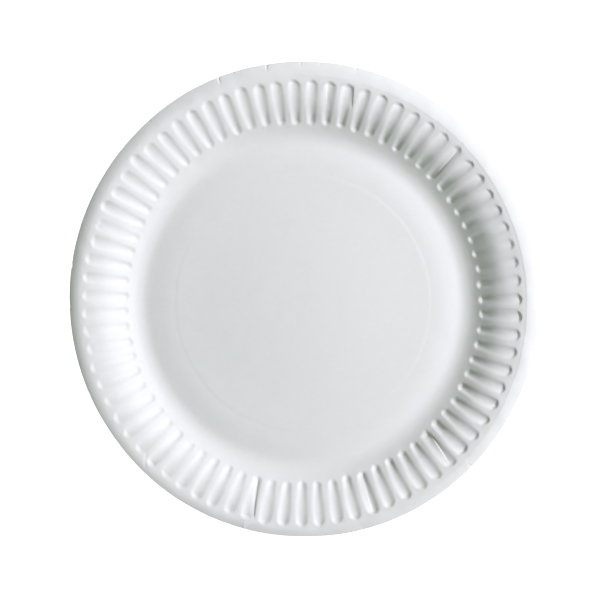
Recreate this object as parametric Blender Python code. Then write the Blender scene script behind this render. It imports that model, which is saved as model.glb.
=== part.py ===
"""Round disposable plate of white paperboard, pressed from one flat disc.

Units are metres, +Z is up, and the plate rests on z = 0. The origin is under
the middle of its cut edge. The disc lay a little off centre under the die, so
every pressed ring shares a second centre, DIE_CENTRE, and the smooth rim is
wider on one side than on the other. The board springs back a little more
across its grain, which leaves the plate slightly oval and its wall slightly
wavy.

The underside is built as rings of points around the die's centre, and a
Solidify modifier gives the board its thickness on the upper side.
"""

import math

import bmesh
import bpy

# Driving dimensions
PLATE_R = 0.1151  # radius of the cut edge, seen from above
BOARD = 0.00045  # thickness of the paperboard
DIE_CENTRE = (-0.00113, -0.0018)  # centre of the pressed rings
OVAL = 0.004  # narrower along OVAL_AXIS and wider across it, by this share
OVAL_AXIS = math.radians(8)
FLOOR_R = 0.0618  # the floor ends here in a faint embossed line
REST_IN_R = 0.0774  # the plate rests on a narrow flat ring
REST_OUT_R = 0.0782
CREST_R = 0.1099  # highest ring, where the rim begins to roll down

FLUTES = 75  # grooves pressed into the wall
FLUTE_PHASE = math.radians(0.93)
FLUTE_DEPTH = 0.0008

# How the underside rises along a radius: (radius, slope in degrees). Straight
# changes of slope between two stations are arcs of the section.
STATIONS = (
    (0.0000, 0.0),
    (0.0100, 0.0),
    (0.0200, -0.9),
    (0.0302, -1.6),
    (0.0402, -1.9),
    (0.0503, -1.3),
    (0.0583, -0.2),
    (FLOOR_R, -0.2),
    (0.0622, -4.5),
    (0.0628, -4.5),
    (0.0633, -0.6),
    (0.0654, -1.3),
    (0.0684, -3.6),
    (0.0714, -5.8),
    (0.0744, -6.4),
    (0.0760, -6.8),
    (REST_IN_R, 0.0),
    (REST_OUT_R, 0.0),
    (0.0790, 8.2),
    (0.0809, 13.2),
    (0.0829, 23.5),
    (0.0849, 29.6),
    (0.0870, 32.4),
    (0.0890, 36.2),
    (0.0910, 36.0),
    (0.0930, 34.5),
    (0.0950, 31.0),
    (0.0970, 26.0),
    (0.0990, 21.5),
    (0.1010, 17.8),
    (0.1030, 15.8),
    (0.1050, 14.0),
)
# The rim turns over more sharply on one side than on the other:
# (radius, slope on the sharp side, slope on the round side).
RIM_STATIONS = (
    (0.1070, 12.5, 13.8),
    (0.1083, 7.5, 11.0),
    (0.1090, 6.0, 7.0),
    (0.10975, 6.0, 1.4),
    (0.11005, -3.6, -0.8),
    (0.1110, -7.0, -6.2),
    (0.1125, -11.6, -17.5),
    (0.1140, -15.4, -27.0),
    (0.1160, -21.0, -33.5),
    (0.1190, -26.0, -38.5),
)
SHARP_SIDE = math.radians(15)

# The plate isn't quite flat: (waves round it, height, direction in degrees), for
# the wall and for the rim beyond it.
WALL_WAVES = (
    (1, 0.00062, 138.0),
    (2, 0.00052, -46.0),
    (3, 0.00040, 11.0),
    (4, 0.00023, 31.0),
)
RIM_WAVES = (
    (1, 0.00055, -6.0),
    (2, 0.00024, 86.0),
    (3, 0.00023, -9.0),
    (4, 0.00014, 39.0),
)

# Rings across the flutes: (radius, half width of the groove's bottom and of its
# mouth in degrees, share of the full depth). The first and last lie on the
# smooth wall, so the grooves end in round tips.
FLUTE_RINGS = (
    (0.0864, 0.13, 0.86, 0.0),
    (0.0883, 0.36, 1.49, 1.08),
    (0.0915, 0.41, 1.63, 1.03),
    (0.0955, 0.51, 1.86, 1.0),
    (0.1000, 0.60, 1.95, 1.0),
    (0.1059, 0.70, 1.68, 1.12),
    (0.1080, 0.37, 1.06, 0.0),
)
# How deep the die pressed round the plate: (direction in degrees, share).
PRESSED = (
    (1, 1.0),
    (25, 0.87),
    (49, 0.80),
    (73, 1.0),
    (97, 0.90),
    (121, 0.95),
    (145, 0.78),
    (169, 0.75),
    (193, 0.64),
    (217, 0.60),
    (241, 0.66),
    (265, 0.87),
    (289, 0.88),
    (313, 1.0),
    (337, 1.0),
)

STEP = 0.00005  # of the radius, for adding up the section's height
EDGE_SLOPE = 24.0  # of the rim at the cut edge, in degrees
RIM_SHARES = (0.28, 0.62, 1.0)  # rings of the rim, from the crest to the edge


def smooth(t):
    """0 below 0, 1 above 1 and smooth between."""
    t = min(max(t, 0.0), 1.0)
    return t * t * (3 - 2 * t)


def between(stations, x):
    """Value between (x, value) stations, constant beyond them."""
    if x <= stations[0][0]:
        return stations[0][1]
    for (x0, v0), (x1, v1) in zip(stations, stations[1:]):
        if x <= x1:
            return v0 + (v1 - v0) * (x - x0) / (x1 - x0)
    return stations[-1][1]


def side_section(column):
    """Slopes and heights of the underside on one side, at each STEP."""
    stations = STATIONS + tuple((row[0], row[column]) for row in RIM_STATIONS)
    count = int(round(stations[-1][0] / STEP)) + 1
    slopes = [math.radians(between(stations, i * STEP)) for i in range(count)]
    heights = [0.0]
    for i in range(1, count):
        heights.append(heights[-1] + STEP * math.tan((slopes[i - 1] + slopes[i]) / 2))
    rest = heights[int(round(REST_IN_R / STEP))]
    return slopes, [h - rest for h in heights]


SHARP, ROUND = side_section(1), side_section(2)


def sharpness(angle):
    return 0.5 + 0.5 * math.cos(angle - SHARP_SIDE)


def along_section(kind, r, angle):
    """Slope (kind 0) or height (kind 1) of the underside."""
    values = []
    for side in (SHARP, ROUND):
        i = min(int(r / STEP), len(side[kind]) - 2)
        share = r / STEP - i
        values.append(side[kind][i] * (1 - share) + side[kind][i + 1] * share)
    blend = sharpness(angle)
    return values[0] * blend + values[1] * (1 - blend)


def around(waves, angle):
    return sum(h * math.cos(n * (angle - math.radians(d))) for n, h, d in waves)


def wave(r, angle):
    """How far the wall and rim lie above or below the plain section."""
    t = max((r - 0.0794) / 0.025, 0.0)
    wall = t * t if t < 1 else 2 * t - 1
    rim = max((r - 0.1036) / 0.010, 0.0) ** 2
    # the wall is a little steeper on one side
    off = (angle - math.radians(8) + math.pi) % (2 * math.pi) - math.pi
    near = math.cos(min(abs(off) / math.radians(45), 1.0) * math.pi / 2) ** 2
    steeper = 0.0005 * smooth((r - 0.083) / 0.014) - 0.00032 * smooth((r - 0.0975) / 0.009)
    return wall * around(WALL_WAVES, angle) + rim * around(RIM_WAVES, angle) + near * steeper


def height_at(r, angle):
    """Height of the smooth underside, exactly zero on the rest ring."""
    if REST_IN_R - 1e-6 <= r <= REST_OUT_R + 1e-6:
        return 0.0
    return along_section(1, r, angle) + wave(r, angle)


def pressed(angle):
    """Share of the flutes' full depth in this direction."""
    direction = math.degrees(angle) % 360
    first, last = PRESSED[0], PRESSED[-1]
    ring = ((last[0] - 360, last[1]),) + PRESSED + ((first[0] + 360, first[1]),)
    return between(ring, direction)


def drift(angle):
    """The flutes aren't quite evenly spaced: how far they are turned here."""
    return -0.0034 * math.sin(angle) + 0.0082 * math.cos(angle)


def end_shift(r, angle):
    """The flutes' ends wander in and out round the plate."""
    if r < 0.09:
        return -0.00035 * math.cos(2 * (angle - OVAL_AXIS)) + 0.00028 * math.cos(3 * angle)
    if r > 0.105:
        return -0.00035 * math.cos(2 * (angle - OVAL_AXIS)) + 0.00016 * math.sin(2 * angle)
    return 0.0


def edge_radius(angle):
    """Distance from the die's centre to the cut edge, on the underside."""
    cut = PLATE_R - BOARD * math.sin(math.radians(EDGE_SLOPE))
    along = DIE_CENTRE[0] * math.cos(angle) + DIE_CENTRE[1] * math.sin(angle)
    away = DIE_CENTRE[0] ** 2 + DIE_CENTRE[1] ** 2
    return -along + math.sqrt(along**2 - away + cut**2)


def point(r, angle, depth=0.0):
    """A point of the underside, pressed in by depth square to the wall."""
    slope = along_section(0, r, angle)
    out = r + depth * math.sin(slope)
    x = DIE_CENTRE[0] + out * math.cos(angle)
    y = DIE_CENTRE[1] + out * math.sin(angle)
    c, s = math.cos(OVAL_AXIS), math.sin(OVAL_AXIS)
    along, across = (x * c + y * s) * (1 - OVAL), (y * c - x * s) * (1 + OVAL)
    return (
        along * c - across * s,
        along * s + across * c,
        height_at(r, angle) - depth * math.cos(slope),
    )


def smooth_ring(bm, r, count):
    """A ring of points on the smooth wall: a list of (angle, vertex)."""
    angles = [2 * math.pi * i / count for i in range(count)]
    return [(a, bm.verts.new(point(r, a))) for a in angles]


def flute_ring(bm, r, bottom, mouth, share):
    """A ring that goes down and up each groove, four points to a flute."""
    ring = []
    for i in range(FLUTES):
        middle = 2 * math.pi * i / FLUTES + FLUTE_PHASE
        middle += drift(middle)
        deep = share * pressed(middle) * FLUTE_DEPTH
        for offset, depth in ((-mouth, 0.0), (-bottom, deep), (bottom, deep), (mouth, 0.0)):
            a = middle + math.radians(offset)
            ring.append((a, bm.verts.new(point(r + end_shift(r, middle), a, depth))))
    return ring


def rim_ring(bm, share, count):
    """A ring of the rolled rim, this share of the way to the cut edge."""
    ring = []
    for i in range(count):
        a = 2 * math.pi * i / count
        r = CREST_R + (edge_radius(a) - CREST_R) * share
        ring.append((a, bm.verts.new(point(r, a))))
    return ring


def join_equal(bm, inner, outer):
    """Quads between two rings of as many points."""
    n = len(inner)
    for i in range(n):
        j = (i + 1) % n
        bm.faces.new((inner[i][1], inner[j][1], outer[j][1], outer[i][1]))


def join_unequal(bm, inner, outer):
    """Triangles between rings of different counts, taking the nearer next point."""
    n, m = len(inner), len(outer)
    turn = 2 * math.pi

    def angle(ring, k):
        return ring[k % len(ring)][0] + turn * (k // len(ring))

    i = j = 0
    while i < n or j < m:
        inner_next = angle(inner, i + 1) + angle(inner, i)
        outer_next = angle(outer, j + 1) + angle(outer, j)
        if j >= m or (i < n and inner_next <= outer_next):
            bm.faces.new((inner[i % n][1], inner[(i + 1) % n][1], outer[j % m][1]))
            i += 1
        else:
            bm.faces.new((inner[i % n][1], outer[(j + 1) % m][1], outer[j % m][1]))
            j += 1


def fan(bm, ring):
    """Closes the middle of the floor."""
    centre = bm.verts.new(point(0.0, 0.0))
    for i in range(len(ring)):
        bm.faces.new((centre, ring[(i + 1) % len(ring)][1], ring[i][1]))


def build_mesh():
    """The underside as one open sheet whose faces look down."""
    bm = bmesh.new()
    rings = [smooth_ring(bm, 0.030, 25)]
    for r in (FLOOR_R, 0.0633, 0.0700, REST_IN_R, REST_OUT_R, 0.0808, 0.0836):
        rings.append(smooth_ring(bm, r, FLUTES))
    for r, bottom, mouth, share in FLUTE_RINGS:
        rings.append(flute_ring(bm, r, bottom, mouth, share))
    rings.append(smooth_ring(bm, CREST_R, FLUTES))
    for share in RIM_SHARES:
        rings.append(rim_ring(bm, share, FLUTES))

    fan(bm, rings[0])
    for inner, outer in zip(rings, rings[1:]):
        if len(inner) == len(outer):
            join_equal(bm, inner, outer)
        else:
            join_unequal(bm, inner, outer)

    # The sheet is open, so its faces are turned to look down one by one.
    for face in bm.faces:
        face.normal_update()
        if face.normal.z > 0:
            face.normal_flip()

    mesh = bpy.data.meshes.new("plate")
    bm.to_mesh(mesh)
    bm.free()
    mesh.shade_smooth()
    return mesh


def paperboard():
    """White coated board with a slightly warm grey tone and a satin surface."""
    material = bpy.data.materials.new("white_board")
    material.use_nodes = True
    shader = material.node_tree.nodes["Principled BSDF"]
    shader.inputs["Base Color"].default_value = (0.81, 0.82, 0.82, 1.0)
    shader.inputs["Roughness"].default_value = 0.6
    shader.inputs["Metallic"].default_value = 0.0
    return material


def main():
    for obj in list(bpy.data.objects):
        bpy.data.objects.remove(obj, do_unlink=True)

    mesh = build_mesh()
    mesh.materials.append(paperboard())
    plate = bpy.data.objects.new("plate", mesh)
    bpy.context.scene.collection.objects.link(plate)

    board = plate.modifiers.new("board", "SOLIDIFY")
    board.thickness = BOARD
    board.offset = -1.0
    board.use_even_offset = True
    board.use_rim = True
    board.show_render = board.show_viewport


main()
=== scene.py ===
import math

import bpy
import numpy as np
from mathutils import Matrix, Vector


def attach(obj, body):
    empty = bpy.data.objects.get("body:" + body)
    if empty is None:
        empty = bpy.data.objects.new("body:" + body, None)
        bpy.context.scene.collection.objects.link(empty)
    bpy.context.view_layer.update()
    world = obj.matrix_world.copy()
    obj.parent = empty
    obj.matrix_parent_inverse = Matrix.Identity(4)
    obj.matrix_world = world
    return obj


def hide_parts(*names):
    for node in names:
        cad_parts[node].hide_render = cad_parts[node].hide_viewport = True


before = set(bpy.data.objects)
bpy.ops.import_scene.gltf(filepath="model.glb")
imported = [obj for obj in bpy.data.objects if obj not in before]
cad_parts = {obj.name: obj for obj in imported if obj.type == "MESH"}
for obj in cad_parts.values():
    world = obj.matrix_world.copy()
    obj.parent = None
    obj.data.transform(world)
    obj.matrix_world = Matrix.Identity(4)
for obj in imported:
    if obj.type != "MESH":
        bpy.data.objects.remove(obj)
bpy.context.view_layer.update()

# ---------------------------------------------------------------- dimensions
# Millimetres here; the mesh is scaled to metres when it is made. The section
# is the underside's, and the upper face lies one board's thickness above it.
PLATE_R = 114.8
BOARD = 0.45
DIE = (-1.13, -1.80)  # centre of the pressed rings; the cut edge's centre is the origin
EDGE_SLOPE = 24.0
RIM_R = 110.6  # rows up to here are true circles, and from here they turn into the cut edge
OVAL = 0.0040  # the board springs back more across its grain, so the plate is slightly oval
OVAL_AXIS = math.radians(8)

FLUTES = 75
PITCH = 2 * math.pi / FLUTES
GROOVE_IN = 86.6  # where the grooves begin and end
GROOVE_OUT = 108.15
END_IN, END_OUT = 1.7, 2.0  # length of the rise at each end
IN_LONGER, OUT_LONGER = 0.9, 0.8  # they are longer away from the sharp side
ROUND_IN, ROUND_OUT = 0.55, 1.1  # how far the ends are rounded back at the walls

# across a groove: (radius, from its middle to the steepest of the wall, from
# there to the land, depth)
ACROSS = (
    (86.5, 1.25, 1.30, 1.12),
    (89.5, 1.42, 1.45, 0.99),
    (93.5, 1.80, 1.75, 0.71),
    (96.5, 2.12, 1.80, 0.69),
    (101.5, 2.45, 1.65, 0.75),
    (104.5, 2.40, 1.35, 0.88),
    (107.0, 2.20, 1.15, 1.10),
    (109.5, 2.20, 1.15, 1.10),
)

# the die pressed deeper on one side: (direction in degrees, share of the depth
# at the inner ends, at the outer ends)
PRESSED = (
    (1, 1.0, 1.0), (25, 0.95, 1.0), (49, 0.72, 0.82), (73, 0.98, 1.03),
    (97, 0.73, 0.89), (121, 0.88, 1.08), (145, 0.60, 0.78), (169, 0.60, 0.73),
    (193, 0.62, 0.56), (217, 0.53, 0.67), (241, 0.62, 0.69), (265, 0.87, 0.98),
    (289, 0.97, 0.94), (313, 1.08, 1.04), (337, 0.86, 1.08),
)
# the grooves don't run straight out: (direction in degrees, shift in mm of
# their inner ends, of their outer ends), counterclockwise
SHIFTS = (
    (1, -0.20, -0.15), (25, 0.0, -0.30), (49, 0.10, -0.42), (73, 0.08, -0.30),
    (97, 0.08, -0.27), (121, -0.04, -0.30), (145, -0.02, -0.22), (169, -0.04, 0.0),
    (193, 0.10, 0.0), (217, 0.26, 0.05), (241, 0.18, 0.18), (265, -0.05, 0.12),
    (289, -0.17, 0.02), (313, -0.19, 0.0), (337, -0.18, 0.0),
)

# (radius, slope in degrees) along the section, up to where its two sides part
STATIONS = (
    (0.0, 0.0),
    (10.0, 0.0),
    (20.0, -0.9),
    (30.2, -1.6),
    (40.2, -1.9),
    (50.3, -1.3),
    (58.3, -0.2),
    (61.8, -0.2),
    (62.2, -4.5),
    (62.8, -4.5),
    (63.3, -0.6),
    (65.4, -1.3),
    (68.4, -3.6),
    (71.4, -5.8),
    (74.4, -6.4),
    (76.0, -6.8),
    (77.4, 0.0),
    (78.2, 0.0),
    (79.0, 8.2),
    (80.9, 13.2),
    (82.9, 23.5),
    (84.9, 29.6),
    (87.0, 32.4),
    (89.0, 36.2),
    (91.0, 36.0),
    (93.0, 34.5),
    (95.0, 31.0),
    (97.0, 26.0),
    (99.0, 21.5),
    (101.0, 17.8),
    (103.0, 15.3),
    (105.0, 13.3),
)
# the rim turns over in a sharp line on one side and rolls down on the other:
# (radius, slope there, slope here)
RIM_STATIONS = (
    (107.0, 11.7, 13.0),
    (108.3, 7.5, 11.0),
    (109.0, 6.0, 7.0),
    (109.75, 6.0, 1.4),
    (110.05, -3.6, -0.8),
    (111.0, -7.0, -6.2),
    (112.5, -11.6, -17.5),
    (114.0, -15.4, -27.0),
    (116.0, -21.0, -33.5),
    (119.0, -26.0, -38.5),
)
SHARP_SIDE = math.radians(15)

STEP = 0.05
_r = np.arange(0.0, 121.0, STEP)
_kernel = np.exp(-0.5 * (np.arange(-12, 13) * STEP / 0.20) ** 2)
_kernel /= _kernel.sum()


def _side(column):
    """Slopes and heights of the underside on one side, at every STEP."""
    rows = list(STATIONS) + [(row[0], row[column]) for row in RIM_STATIONS]
    slope = np.interp(_r, *np.array(rows).T)
    slope = np.radians(np.convolve(np.pad(slope, 12, mode="edge"), _kernel, mode="valid"))
    rise = np.tan((slope[1:] + slope[:-1]) / 2)
    height = np.concatenate([[0.0], np.cumsum(STEP * rise)])
    return slope, height - height[(_r > 70) & (_r < 84)].min()


_sharp, _round = _side(1), _side(2)


def sharpness(a):
    return 0.5 + 0.5 * np.cos(a - SHARP_SIDE)


def slope_at(r, a):
    share = sharpness(a)
    return np.interp(r, _r, _sharp[0]) * share + np.interp(r, _r, _round[0]) * (1 - share)


def height_at(r, a):
    share = sharpness(a)
    return np.interp(r, _r, _sharp[1]) * share + np.interp(r, _r, _round[1]) * (1 - share)


# ------------------------------------------------------------ irregularities
rng = np.random.default_rng(7)


def rises(t):
    """0 below 0, 1 above 1 and smooth between."""
    t = np.clip(t, 0.0, 1.0)
    return t * t * (3 - 2 * t)


def turned(a):
    """An angle brought to -pi..pi."""
    return (a + math.pi) % (2 * math.pi) - math.pi


# The plate isn't quite flat: (waves around it, height in mm, direction in
# degrees), for the wall and for the rim beyond it.
WALL_WAVES = ((1, 0.62, 138.0), (2, 0.52, -46.0), (3, 0.40, 11.0), (4, 0.23, 31.0))
RIM_WAVES = ((1, 0.55, -6.0), (2, 0.24, 86.0), (3, 0.23, -9.0), (4, 0.14, 39.0))


def around(waves, a):
    return sum(h * np.cos(n * (a - math.radians(d))) for n, h, d in waves)


def wave(r, a):
    """How far the wall and rim lie above or below the plain section."""
    t = np.clip((r - 79.4) / 25.0, 0, None)
    wall = np.where(t < 1, t * t, 2 * t - 1)
    rim = np.clip((r - 103.6) / 10.0, 0, None) ** 2
    # the wall is a little steeper on one side
    near = np.cos(np.clip(np.abs(turned(a - math.radians(8))) / math.radians(45), 0, 1) * math.pi / 2) ** 2
    steeper = near * (0.50 * rises((r - 83.0) / 14.0) - 0.32 * rises((r - 97.5) / 9.0))
    return wall * around(WALL_WAVES, a) + rim * around(RIM_WAVES, a) + steeper


PHASE = math.radians(0.93)
# each flute differs a little, as pressed board does
flute_shift = rng.normal(0, 0.08, FLUTES)  # mm sideways
flute_lean = rng.normal(0, 0.20, FLUTES)  # mm sideways, inner end to outer
flute_bow = rng.normal(0, 0.14, FLUTES)
flute_depth = 1 + rng.normal(0, 0.10, FLUTES)
flute_in = rng.normal(0, 0.20, FLUTES)
flute_out = rng.normal(0, 0.20, FLUTES)
flute_wide = 1 + rng.normal(0, 0.06, FLUTES)
skew_in = rng.normal(0, 0.12, FLUTES)
skew_out = rng.normal(0, 0.12, FLUTES)
# flutes that stand out more: (number, sideways at its inner end, at its outer
# end, share of the depth, its inner end further out, its outer end further out)
STRAY = (
    (0, -0.24, -0.36, 1.10, -0.6, -0.5), (1, -0.30, -0.25, 1.00, -0.8, 0.0),
    (4, 0.00, 0.00, 1.00, 0.4, 0.0), (7, -0.20, -0.30, 1.10, 0.2, -0.1),
    (8, -0.10, -0.25, 1.10, 0.1, 0.0), (9, 0.00, 0.00, 1.00, 0.0, -0.35),
    (11, -0.10, -0.15, 0.85, -0.2, -0.1), (60, 0.00, 0.10, 1.12, 0.0, 0.35),
    (12, -0.32, -0.36, 0.95, -0.1, 0.0), (14, 0.00, 0.00, 1.05, 0.4, 0.2),
    (16, 0.10, 0.25, 1.00, 0.4, 0.2), (17, -0.15, -0.25, 1.08, 0.0, 0.0),
    (18, 0.00, -0.05, 0.90, -0.5, 0.1), (19, 0.00, -0.10, 1.00, -0.8, -0.5),
    (20, 0.00, 0.00, 0.86, -0.2, -0.5), (21, -0.32, -0.38, 1.05, 0.0, -0.6),
    (22, -0.10, -0.20, 1.20, 0.0, 0.0), (23, -0.40, -0.20, 1.10, 0.0, 0.0),
    (25, 0.00, -0.05, 1.30, 0.0, -0.3), (26, -0.10, -0.20, 0.76, 0.0, -0.6),
    (27, -0.16, -0.18, 0.74, 0.0, -0.7), (28, 0.00, -0.20, 0.88, 0.0, -0.7),
    (29, -0.10, -0.15, 1.00, 0.0, 0.9), (30, 0.00, 0.25, 1.00, 0.0, 0.2),
    (31, 0.10, 0.25, 1.00, 0.0, -0.4), (32, 0.00, -0.10, 1.00, 0.0, 0.9),
    (33, 0.50, 0.40, 0.74, -0.4, -0.4), (36, -0.20, 0.15, 1.00, 0.0, 0.0),
    (37, -0.20, 0.10, 0.95, 0.0, -0.6), (43, 0.00, 0.00, 1.00, 0.8, -0.5),
    (46, 0.00, 0.40, 1.00, 0.0, 0.1), (47, 0.10, 0.15, 1.00, -0.4, 0.5),
    (48, 0.10, 0.45, 0.68, 0.0, -0.4), (49, 0.00, 0.00, 0.90, 0.2, 0.3),
    (52, 0.00, 0.00, 1.12, 0.0, 0.0), (54, -0.15, -0.20, 0.90, 0.0, 0.6),
    (56, 0.25, 0.25, 1.00, -0.4, 0.2), (57, 0.05, 0.00, 0.87, 0.0, 0.3),
    (58, -0.20, 0.00, 0.92, 0.0, 0.0), (59, 0.00, 0.08, 0.92, -0.7, 0.3),
    (61, 0.00, 0.00, 1.00, -0.9, 0.0), (62, 0.15, 0.25, 0.90, -0.5, 0.0),
    (63, 0.27, 0.30, 1.00, 0.0, 0.3), (64, -0.10, -0.10, 0.92, 0.3, 0.2),
    (65, 0.00, 0.10, 1.20, 0.0, 0.20),
    (67, -0.20, -0.35, 0.82, 0.0, 0.0), (68, 0.00, 0.00, 0.94, 0.0, 0.3),
    (69, 0.15, 0.20, 1.10, -0.3, 0.0), (70, -0.22, -0.18, 0.93, 0.0, 0.2),
    (72, 0.00, 0.00, 0.94, 0.0, 0.2), (73, 0.00, 0.00, 1.00, 0.0, 0.3),
)
for i, inner, outer, share, start, stop in STRAY:
    flute_shift[i] += (inner + outer) / 2
    flute_lean[i] += outer - inner
    flute_depth[i] *= share
    flute_in[i] += start
    flute_out[i] += stop
# flutes whose ends rise over a longer or shorter way: (number, at its inner end,
# at its outer end)
eased_in, eased_out = np.zeros(FLUTES), np.zeros(FLUTES)
for i, inner, outer in ((1, 0.4, 0.0), (2, 0.0, 0.7), (3, 0.0, 0.5), (7, 0.7, 0.4),
                        (9, 0.0, 0.9), (13, 0.9, 0.0), (16, 0.0, 0.4), (66, 0.9, 0.0)):
    eased_in[i] = inner
    eased_out[i] = outer


def drift(a):
    """The flutes aren't quite evenly spaced: how far they are turned here."""
    return (-0.0034 * np.sin(a) + 0.0082 * np.cos(a)
            + 0.0009 * np.sin(2 * (a - math.radians(9))))


def table(rows, column, a):
    """A column of one of the tables above, at any direction."""
    rows = np.array(rows)
    return np.interp(np.degrees(a) % 360, rows[:, 0], rows[:, column], period=360)


def ramps(t):
    """0 below 0, 1 above 1, straight between with short rounded ends."""
    t = np.clip(t, 0.0, 1.0)
    q = 0.22
    foot = t * t / (2 * q * (1 - q))
    head = 1 - (1 - t) ** 2 / (2 * q * (1 - q))
    return np.where(t < q, foot, np.where(t > 1 - q, head, (t - q / 2) / (1 - q)))


def lesser(u, v):
    """The smaller of two shares, rounded where they are alike."""
    u, v = np.clip(u, 1e-3, 1), np.clip(v, 1e-3, 1)
    both = (u**-3 + v**-3 - 1) ** (-1 / 3)
    return np.where((u <= 1e-3) | (v <= 1e-3), 0.0, both)


def groove(r, a, soften=0.0):
    """Depth of the grooves below the wall, in mm."""
    r = np.asarray(r, float)
    b = a - PHASE - drift(a)
    nearest = np.rint(b / PITCH).astype(int)
    along = np.clip((r - GROOVE_IN) / (GROOVE_OUT - GROOVE_IN), 0, 1)
    steep, ease, depth = (np.interp(r, *np.array(ACROSS)[:, (0, k)].T) for k in (1, 2, 3))
    wander = -0.35 * np.cos(2 * (a - OVAL_AXIS))
    first_at = (GROOVE_IN + 0.10 + 1.45 * wander + 0.38 * np.cos(3 * a) + 0.10 * np.sin(3 * a)
                - 0.08 * np.cos(a) + 0.08 * np.sin(a) - 0.10 * np.sin(2 * a))
    longer_in = IN_LONGER * rises((np.degrees(np.abs(turned(a - math.radians(25)))) - 25) / 40)
    first_at = first_at - longer_in / 2
    longer = OUT_LONGER * (1 - sharpness(a))
    last_at = GROOVE_OUT + wander + 0.09 * np.cos(3 * a) + 0.16 * np.sin(2 * a) + longer / 2
    shift = table(SHIFTS, 1, a) * (1 - along) + table(SHIFTS, 2, a) * along
    depth = depth * (table(PRESSED, 1, a) * (1 - along) + table(PRESSED, 2, a) * along)
    total = np.zeros_like(r)
    for k in (-1, 0, 1):
        i = (nearest + k) % FLUTES
        x = turned(b - (nearest + k) * PITCH) * r
        x = x - shift - flute_shift[i] - flute_lean[i] * (along - 0.5)
        x = x - flute_bow[i] * np.sin(math.pi * along)
        side, x = x, np.abs(x)
        xs, xc = steep * flute_wide[i], ease
        across = np.where(
            x < xs,
            1 - x * x / (xs * (xs + xc)),
            np.clip(xs + xc - x, 0, None) ** 2 / (xc * (xs + xc)),
        )
        back = (x / xs) ** 2
        first = first_at + flute_in[i] + ROUND_IN * back + skew_in[i] * side
        last = last_at + flute_out[i] - ROUND_OUT * back + skew_out[i] * side
        first, last = first - eased_in[i] / 2, last + eased_out[i] / 2
        ends = rises((r - first + soften) / (END_IN + longer_in + eased_in[i] + soften))
        ends = ends * ramps((last - r + soften) / (END_OUT + longer + eased_out[i] + soften))
        total = total + flute_depth[i] * depth * lesser(across, ends)
    return total


# slight unevenness of the pressed board: many small waves across it
_n = 48
_angle = rng.uniform(0, 2 * math.pi, _n)
_length = 5.0 * (22.0 / 5.0) ** rng.uniform(0, 1, _n)
_turn = rng.uniform(0, 2 * math.pi, _n)
_kx, _ky = 2 * math.pi / _length * np.cos(_angle), 2 * math.pi / _length * np.sin(_angle)
_height = math.sqrt(2.0 / _n) * _length / (2 * math.pi)


def uneven(r, a):
    x, y = r * np.cos(a), r * np.sin(a)
    total = sum(h * np.cos(kx * x + ky * y + t)
                for h, kx, ky, t in zip(_height, _kx, _ky, _turn))
    share = 0.005 + 0.017 * rises((r - 82.0) / 6.0)
    share = share * np.clip(np.abs(r - 77.8) / 7.0, 0, 1)
    return total * share


# Folds pressed into the flutes: (direction and radius of one end, of the other,
# half width on the clockwise side, on the other side, depth), in degrees and mm.
# Below zero the fold stands up.
FOLDS = (
    (255.75, 87.5, 257.50, 107.5, 1.20, 0.48, 0.52),
    (314.75, 88.0, 313.85, 100.5, 0.26, 0.50, 0.15),
    (314.60, 90.0, 313.10, 105.8, 0.20, 1.80, 0.22),
    (75.35, 97.0, 76.45, 108.9, 0.42, 2.00, 0.46),
    (82.5, 96.0, 83.0, 107.8, 1.30, 0.35, 0.13),
    (289.5, 86.5, 289.3, 107.8, 0.60, 2.20, 0.28),
    (43.2, 87.6, 43.9, 106.2, 0.42, 0.42, 0.24),
    (20.9, 94.2, 19.9, 100.0, 0.35, 0.35, -0.16),
    (158.3, 108.9, 160.4, 99.0, 1.00, 1.00, -0.12),
    (223.5, 104.4, 226.8, 112.0, 0.80, 0.80, 0.16),
    (358.1, 96.4, 358.3, 107.6, 0.40, 0.40, 0.13),
    (314.0, 85.4, 314.2, 93.0, 1.10, 0.80, 0.42),
    (255.0, 105.8, 256.1, 118.0, 0.42, 0.42, -0.17),
)
FOLLOWED = (0, 2, 3, 4, 5, 6, 7, 10)  # the mesh's columns follow these


def fold_at(fold, r):
    """Direction of a fold at a radius, in radians."""
    a0, r0, a1, r1 = fold[:4]
    return np.radians(a0 + (a1 - a0) * np.clip((r - r0) / (r1 - r0), 0, 1))


def folds(r, a, upper):
    total = np.zeros_like(r)
    for fold in FOLDS:
        low, high = sorted((fold[1], fold[3]))
        x = turned(a - fold_at(fold, r)) * r
        half = np.where(x < 0, fold[4], fold[5])
        if not upper:
            half = np.maximum(half, 0.9)
        fade = rises((r - low) / 2.2) * rises((high - r) / 2.2)
        total -= fold[6] * fade * np.exp(-((x / half) ** 2))
    return total


def field(r, a, upper):
    """How far a face of the board lies above the plain section, square to it, in mm."""
    out = -groove(r, a, 0.0 if upper else 0.3)
    # the fine raised line where the rim turns over on the sharp side
    out = out + 0.07 * sharpness(a) ** 3 * rises((r - 109.3) / 0.45)
    return out + uneven(r, a) + folds(r, a, upper)


# --------------------------------------------------------------------- mesh
# Small folds in the cut edge: (direction in degrees, length, depth, half
# width, all in mm). Below zero the fold stands up.
PLEATS = (
    (69.2, 2.6, 0.16, 0.35),
    (76.5, 2.8, 0.20, 0.35),
    (85.4, 2.4, 0.16, 0.30),
    (90.0, 2.8, 0.28, 0.35),
    (98.3, 3.6, 0.42, 0.35),
    (105.9, 3.0, -0.16, 0.40),
    (110.2, 4.6, 0.38, 0.40),
    (130.0, 2.6, 0.22, 0.35),
    (171.0, 1.6, 0.20, 0.50),
    (180.9, 1.4, 0.16, 0.50),
    (255.9, 2.5, -0.10, 0.45),
    (316.5, 2.8, 0.22, 0.45),
)
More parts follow.
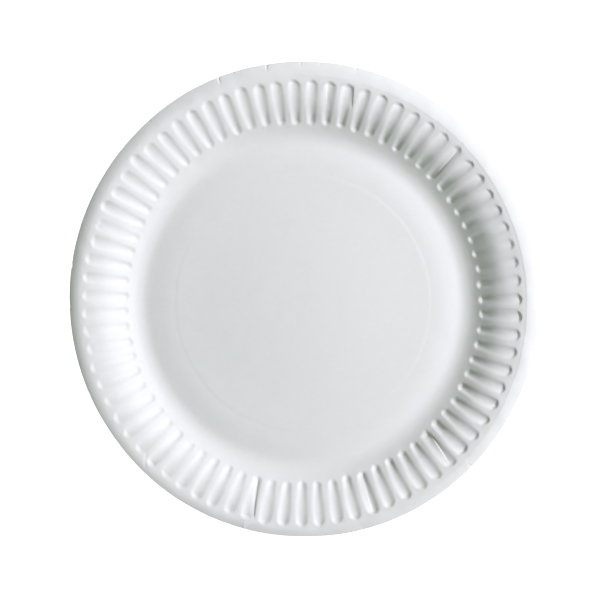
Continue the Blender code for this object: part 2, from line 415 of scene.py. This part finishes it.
# small notches in the outline: (direction in degrees, depth, half width in mm)
NOTCHES = (
    (98.3, 0.20, 0.30),
    (110.2, 0.15, 0.35),
    (171.0, 0.30, 0.80),
    (180.9, 0.22, 0.70),
    (316.5, 0.14, 0.50),
)


# where the blank was cut a little short: (direction, half width in degrees, mm)
SHORT = ((138, 30, 0.46), (216, 26, 0.22), (272, 10, 0.20), (325, 24, 0.15))


def pleats(r, a, edge):
    """Lift of the small folds in the cut edge, in mm."""
    total = np.zeros_like(r)
    for direction, length, depth, half in PLEATS:
        x = turned(a - math.radians(direction)) * r
        fade = np.clip(1 - (edge - r) / length, 0, 1)
        total -= depth * fade * np.exp(-((x / half) ** 2))
    return total


def edge_radius(a, inset=0.0):
    """From the die's centre to the cut edge."""
    cut = PLATE_R - inset
    for direction, depth, half in NOTCHES:
        x = turned(a - math.radians(direction)) * PLATE_R
        cut = cut - depth * np.exp(-((x / half) ** 2))
    for direction, half, depth in SHORT:
        x = np.degrees(turned(a - math.radians(direction))) / half
        cut = cut - depth * np.cos(np.clip(x, -1, 1) * math.pi / 2) ** 2
    along = DIE[0] * np.cos(a) + DIE[1] * np.sin(a)
    return -along + np.sqrt(along**2 - DIE[0] ** 2 - DIE[1] ** 2 + cut**2)


def place(r, a, up, lift=None):
    """Points of the board, n by 3, in mm: up is the height above its lower face."""
    s = slope_at(r, a)
    upper = up > BOARD / 2
    if lift is None:
        lift = field(r, a, upper)
    raised = lift + up
    out = r - raised * np.sin(s)
    x = DIE[0] + out * np.cos(a)
    y = DIE[1] + out * np.sin(a)
    along = x * math.cos(OVAL_AXIS) + y * math.sin(OVAL_AXIS)
    across = y * math.cos(OVAL_AXIS) - x * math.sin(OVAL_AXIS)
    along, across = along * (1 - OVAL), across * (1 + OVAL)
    x = along * math.cos(OVAL_AXIS) - across * math.sin(OVAL_AXIS)
    y = along * math.sin(OVAL_AXIS) + across * math.cos(OVAL_AXIS)
    z = height_at(r, a) + wave(r, a) + raised * np.cos(s)
    return np.stack([x, y, z], axis=1)


def even(count):
    return np.arange(count) * 2 * math.pi / count


def rim_angles():
    """Even round the rim, and closer together at each small fold."""
    angles = list(even(700))
    near = []
    for direction, _, _, half in PLEATS:
        a = math.radians(direction)
        near += [(a + half * k / PLATE_R) for k in (-2.4, -1.5, -0.8, -0.4, 0, 0.4, 0.8, 1.5, 2.4)]
    near = sorted(near)
    keep = [a for a in angles
            if min(abs(turned(a - b)) for b in near) > 0.45 / PLATE_R]
    return np.array(sorted(keep + near))


FLUTED = PHASE + even(FLUTES * 18)
COARSE = PHASE + even(FLUTES * 8)


def fluted(r):
    """The columns of the fluted wall at a radius, closer together along the folds."""
    columns = FLUTED.copy()
    step, reach = FLUTED[1] - FLUTED[0], 9
    for k in FOLLOWED:
        fold = FOLDS[k]
        middle = math.radians((fold[0] + fold[2]) / 2)
        nearest = int(round((middle - PHASE) / step))
        j = np.arange(-reach, reach + 1)
        at = np.sign(j) * reach * step * (np.abs(j) / reach) ** 1.7
        off = float(fold_at(fold, r)) - (PHASE + nearest * step)
        start = PHASE + nearest * step
        new = start + at + off * (1 - (j / reach) ** 2)
        index = (nearest + j) % len(FLUTED)
        wrapped = (nearest + j) // len(FLUTED)
        columns[index] = new - wrapped * 2 * math.pi
    return columns


class Shell:
    """Rings of points, stitched into one closed surface."""

    def __init__(self):
        self.points, self.quads, self.tris, self.count = [], [], [], 0
        self.cut, self.pressed = [], []

    def ring(self, points, angles, cut=0.0, pressed=0.0):
        start = self.count
        self.points.append(points)
        self.count += len(points)
        self.cut.append(np.full(len(points), cut))
        self.pressed.append(np.zeros(len(points)) + pressed)
        return np.arange(start, self.count), np.asarray(angles)

    def stitch(self, inner, outer, flip=False):
        (p, a), (q, b) = inner, outer
        n, m = len(p), len(q)
        if n == m:
            p2, q2 = np.roll(p, -1), np.roll(q, -1)
            f = np.stack([p, q, q2, p2], axis=1)
            self.quads.append(f[:, ::-1] if flip else f)
            return
        turn = 2 * math.pi
        i = j = 0
        rows = []
        while i < n or j < m:
            ai = a[i % n] + turn * (i // n) + a[(i + 1) % n] + turn * ((i + 1) // n)
            bj = b[j % m] + turn * (j // m) + b[(j + 1) % m] + turn * ((j + 1) // m)
            if j >= m or (i < n and ai <= bj):
                rows.append((p[i % n], q[j % m], p[(i + 1) % n]))
                i += 1
            else:
                rows.append((p[i % n], q[j % m], q[(j + 1) % m]))
                j += 1
        f = np.array(rows)
        self.tris.append(f[:, ::-1] if flip else f)

    def cap(self, ring, centre, flip=False):
        p, _ = ring
        start, _ = self.ring(np.array([centre]), [0.0])
        f = np.stack([np.full(len(p), start[0]), p, np.roll(p, -1)], axis=1)
        self.tris.append(f[:, ::-1] if flip else f)


def spread(first, last, step):
    """Radii from first up to last, last left out, about step apart."""
    n = max(1, int(round((last - first) / step)))
    return list(first + (last - first) * np.arange(n) / n)


def build_plate():
    shell = Shell()

    upper_rows = [(r, even(48)) for r in (6.0, 16.0)]
    upper_rows += [(r, even(120)) for r in (28.0, 40.0, 50.0, 57.0, 60.5)]
    upper_rows += [(r, even(375)) for r in spread(61.9, 64.5, 0.33)]
    upper_rows += [(r, even(375)) for r in spread(64.5, 84.6, 1.0)]
    upper_rows += [(r, fluted(r)) for r in spread(84.9, 89.3, 0.35)]
    upper_rows += [(r, fluted(r)) for r in spread(89.3, 104.9, 1.4)]
    upper_rows += [(r, fluted(r)) for r in spread(104.9, 109.1, 0.35)]
    upper_rows += [(r, fluted(r)) for r in spread(109.1, 110.3, 0.2)]
    upper_rows += [(110.3, fluted(110.3))]

    rings = []
    for r, angles in upper_rows:
        rr = np.full(len(angles), r)
        rings.append(shell.ring(place(rr, angles, BOARD), angles,
                                pressed=groove(rr, angles)))
    rim = rim_angles()
    edge = edge_radius(rim)
    for share in (0.0, 0.06, 0.13, 0.22, 0.32, 0.42, 0.52, 0.62, 0.72, 0.82, 0.91, 0.985):
        rr = RIM_R + (edge - RIM_R) * share
        lift = field(rr, rim, True) + pleats(rr, rim, edge)
        rings.append(shell.ring(place(rr, rim, BOARD, lift), rim))
    shell.cap(rings[0], [DIE[0], DIE[1], height_at(0.0, 0.0) + BOARD])
    for inner, outer in zip(rings, rings[1:]):
        shell.stitch(inner, outer)
    top_edge = rings[-1]

    lower_rows = [(r, even(24)) for r in (10.0, 30.0)]
    lower_rows += [(r, even(75)) for r in (48.0, 58.0)]
    lower_rows += [(r, even(150)) for r in spread(62.0, 64.0, 0.5)]
    lower_rows += [(r, even(150)) for r in spread(64.0, 84.7, 1.3)]
    lower_rows += [(r, COARSE) for r in spread(85.2, 89.3, 0.8)]
    lower_rows += [(r, COARSE) for r in spread(89.3, 106.0, 2.2)]
    lower_rows += [(r, COARSE) for r in spread(106.0, RIM_R, 0.75)]
    rings = []
    for r, angles in lower_rows:
        rr = np.full(len(angles), r)
        rings.append(shell.ring(place(rr, angles, 0.0), angles))
    inset = BOARD * math.sin(math.radians(EDGE_SLOPE))
    for share, cols in ((0.0, even(375)), (0.25, even(375)), (0.5, even(375)),
                        (0.75, rim), (0.975, rim)):
        edge = edge_radius(cols, inset)
        rr = RIM_R + (edge - RIM_R) * share
        lift = field(rr, cols, False) + pleats(rr, cols, edge)
        rings.append(shell.ring(place(rr, cols, 0.0, lift), cols))
    shell.cap(rings[0], [DIE[0], DIE[1], height_at(0.0, 0.0)], flip=True)
    for inner, outer in zip(rings, rings[1:]):
        shell.stitch(inner, outer, flip=True)
    bottom_edge = rings[-1]

    # the cut edge, slightly rounded
    last = top_edge
    for up, back in ((0.40, 0.0), (0.05, inset)):
        edge = edge_radius(rim, back)
        lift = field(edge, rim, up > BOARD / 2) + pleats(edge, rim, edge)
        ring = shell.ring(place(edge, rim, up, lift), rim, cut=1.0)
        shell.stitch(last, ring)
        last = ring
    shell.stitch(last, bottom_edge)

    points = np.concatenate(shell.points) * 0.001
    quads = np.concatenate(shell.quads)
    tris = np.concatenate(shell.tris)
    mesh = bpy.data.meshes.new("plate_shell")
    mesh.from_pydata(points.tolist(), [], quads.tolist() + tris.tolist())
    mesh.polygons.foreach_set("use_smooth", np.ones(len(mesh.polygons), bool))
    mesh.update()
    for name, values in (("cut", shell.cut), ("pressed", shell.pressed)):
        made = mesh.attributes.new(name, "FLOAT", "POINT")
        made.data.foreach_set("value", np.concatenate(values).astype(np.float32))
    obj = bpy.data.objects.new("plate_shell", mesh)
    bpy.context.scene.collection.objects.link(obj)
    print("triangles", 2 * len(quads) + len(tris))
    return obj


plate = build_plate()


# ---------------------------------------------------------------- materials
def white_board():
    """Coated white paperboard: a faint cloudiness and fine fibres, satin where
    pressed, rougher and creamier on the cut edge."""
    material = bpy.data.materials.new("white_board")
    material.use_nodes = True
    nodes, links = material.node_tree.nodes, material.node_tree.links
    shader = nodes["Principled BSDF"]
    shader.inputs["Specular IOR Level"].default_value = 0.3
    where = nodes.new("ShaderNodeTexCoord").outputs["Object"]

    def noise(scale, detail, roughness=0.5, vector=where, distortion=0.0):
        node = nodes.new("ShaderNodeTexNoise")
        node.inputs["Scale"].default_value = scale
        node.inputs["Detail"].default_value = detail
        node.inputs["Roughness"].default_value = roughness
        node.inputs["Distortion"].default_value = distortion
        links.new(vector, node.inputs["Vector"])
        return node.outputs["Fac"]

    def math_node(kind, a, b):
        node = nodes.new("ShaderNodeMath")
        node.operation = kind
        for socket, value in zip(node.inputs, (a, b)):
            if isinstance(value, (int, float)):
                socket.default_value = value
            else:
                links.new(value, socket)
        return node.outputs[0]

    def ramp(fac, stops):
        node = nodes.new("ShaderNodeValToRGB")
        elements = node.color_ramp.elements
        while len(elements) < len(stops):
            elements.new(0.5)
        for element, (at, colour) in zip(elements, stops):
            element.position = at
            element.color = (*colour, 1)
        links.new(fac, node.inputs["Fac"])
        return node.outputs["Color"]

    def mixed(fac, a, b, kind="MIX"):
        node = nodes.new("ShaderNodeMix")
        node.data_type = "RGBA"
        node.blend_type = kind
        if isinstance(fac, (int, float)):
            node.inputs["Factor"].default_value = fac
        else:
            links.new(fac, node.inputs["Factor"])
        for name, value in (("A", a), ("B", b)):
            socket = [s for s in node.inputs if s.name == name and s.type == "RGBA"][0]
            if isinstance(value, tuple):
                socket.default_value = (*value, 1)
            else:
                links.new(value, socket)
        return [s for s in node.outputs if s.type == "RGBA"][0]

    # two sets of fibres, each stretched its own way, over the sheet's formation
    def fibres(turn, scale):
        node = nodes.new("ShaderNodeMapping")
        node.inputs["Rotation"].default_value = (0, 0, turn)
        node.inputs["Scale"].default_value = (1.0, 7.0, 1.0)
        links.new(where, node.inputs["Vector"])
        return noise(scale, 2.0, 0.6, node.outputs["Vector"], 0.6)

    formation = noise(430.0, 4.0, 0.62)
    cloud = noise(120.0, 2.0, 0.5)
    strands = math_node("ADD", fibres(0.5, 260.0), fibres(2.3, 310.0))
    grain = noise(2600.0, 3.0, 0.7)

    blend = math_node("ADD", math_node("MULTIPLY", formation, 0.5),
                      math_node("MULTIPLY", strands, 0.25))
    colour = ramp(blend, ((0.30, (0.800, 0.808, 0.806)), (0.70, (0.832, 0.838, 0.836))))
    tint = ramp(cloud, ((0.32, (0.985, 0.992, 0.985)), (0.68, (1.0, 0.998, 1.0))))
    colour = mixed(1.0, colour, tint, "MULTIPLY")

    cut = nodes.new("ShaderNodeAttribute")
    cut.attribute_name = "cut"
    cut = cut.outputs["Fac"]
    raw = ramp(grain, ((0.3, (0.66, 0.65, 0.61)), (0.7, (0.78, 0.77, 0.73))))
    colour = mixed(cut, colour, raw)
    links.new(colour, shader.inputs["Base Color"])

    pressed = nodes.new("ShaderNodeAttribute")
    pressed.attribute_name = "pressed"
    rough = math_node("ADD", math_node("MULTIPLY", formation, 0.16), 0.50)
    rough = math_node("SUBTRACT", rough, math_node("MULTIPLY", pressed.outputs["Fac"], 0.06))
    rough = math_node("ADD", rough, math_node("MULTIPLY", cut, 0.30))
    links.new(rough, shader.inputs["Roughness"])

    relief = math_node("ADD", math_node("MULTIPLY", grain, 0.35),
                       math_node("MULTIPLY", strands, 0.35))
    relief = math_node("ADD", relief, math_node("MULTIPLY", formation, 0.6))
    bump = nodes.new("ShaderNodeBump")
    bump.inputs["Strength"].default_value = 0.5
    bump.inputs["Distance"].default_value = 0.00003
    links.new(relief, bump.inputs["Height"])
    links.new(bump.outputs["Normal"], shader.inputs["Normal"])
    return material


plate.data.materials.append(white_board())
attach(plate, "root")
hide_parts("plate")

# --------------------------------------------------------------- the studio
floor_mesh = bpy.data.meshes.new("floor")
floor_mesh.from_pydata(
    [(-6, -6, -0.0001), (6, -6, -0.0001), (6, 6, -0.0001), (-6, 6, -0.0001)],
    [],
    [(0, 1, 2, 3)],
)
floor = bpy.data.objects.new("floor", floor_mesh)
bpy.context.scene.collection.objects.link(floor)
pale = bpy.data.materials.new("pale_floor")
pale.use_nodes = True
pale_shader = pale.node_tree.nodes["Principled BSDF"]
pale_shader.inputs["Base Color"].default_value = (0.86, 0.86, 0.86, 1)
pale_shader.inputs["Roughness"].default_value = 0.9
pale_shader.inputs["Emission Color"].default_value = (1.0, 0.985, 1.0, 1)
pale_shader.inputs["Emission Strength"].default_value = 0.95
floor_mesh.materials.append(pale)

world = bpy.data.worlds.new("studio")
bpy.context.scene.world = world
world.use_nodes = True
world.node_tree.nodes["Background"].inputs["Color"].default_value = (0.71, 1.0, 0.44, 1)
world.node_tree.nodes["Background"].inputs["Strength"].default_value = 0.14

KEY_AZIMUTH, KEY_HEIGHT, KEY_AWAY = 15.0, 43.0, 1.5
key_data = bpy.data.lights.new("key", "AREA")
key_data.shape = "DISK"
key_data.size = 0.56
key_data.energy = 25.45
key_data.color = (1.03, 0.985, 1.11)
key = bpy.data.objects.new("key", key_data)
bpy.context.scene.collection.objects.link(key)
a, e = math.radians(KEY_AZIMUTH), math.radians(KEY_HEIGHT)
towards = Vector((math.cos(a) * math.cos(e), math.sin(a) * math.cos(e), math.sin(e)))
key.location = towards * KEY_AWAY
key.rotation_mode = "QUATERNION"
key.rotation_quaternion = towards.to_track_quat("Z", "Y")

# a faint cool fill, low on the side away from the key
fill_data = bpy.data.lights.new("fill", "SUN")
fill_data.angle = math.radians(6)
fill_data.energy = 0.12
fill_data.color = (0.35, 0.0, 1.0)
fill = bpy.data.objects.new("fill", fill_data)
bpy.context.scene.collection.objects.link(fill)
a, e = math.radians(192), math.radians(3)
towards = Vector((math.cos(a) * math.cos(e), math.sin(a) * math.cos(e), math.sin(e)))
fill.rotation_mode = "QUATERNION"
fill.rotation_quaternion = towards.to_track_quat("Z", "Y")

# ---------------------------------------------------------------- the camera
# The photo looks down with the camera a little towards its right.
TILT, TILT_AZIMUTH = 4.5, 8.0
CAMERA_AWAY = 1.5
PX_PER_MM = 2.0437  # at the height of the table, in a picture 600 pixels wide
CENTRE_PX = (302.93, 302.65)  # where the die's centre shows, at the table's height
t, p = math.radians(TILT), math.radians(TILT_AZIMUTH)
back = Vector((math.sin(t) * math.cos(p), math.sin(t) * math.sin(p), math.cos(t)))
up = Vector((0, 1, 0))
right = up.cross(back).normalized()
up = back.cross(right).normalized()
camera_data = bpy.data.cameras.new("camera")
camera = bpy.data.objects.new("camera", camera_data)
bpy.context.scene.collection.objects.link(camera)
camera_data.sensor_width = 36.0
camera_data.lens = 36.0 * CAMERA_AWAY * 1000 * PX_PER_MM / 600
aim = Vector((DIE[0], DIE[1], 0.0)) * 0.001
aim -= right * (CENTRE_PX[0] - 300) / PX_PER_MM * 0.001
aim += up * (CENTRE_PX[1] - 300) / PX_PER_MM * 0.001
turn = Matrix((right, up, back)).transposed()
camera.matrix_world = Matrix.Translation(aim + back * CAMERA_AWAY) @ turn.to_4x4()
bpy.context.scene.camera = camera

view = bpy.context.scene.view_settings
view.view_transform = "Standard"
view.look = "None"
view.exposure = 0.0
view.gamma = 1.0
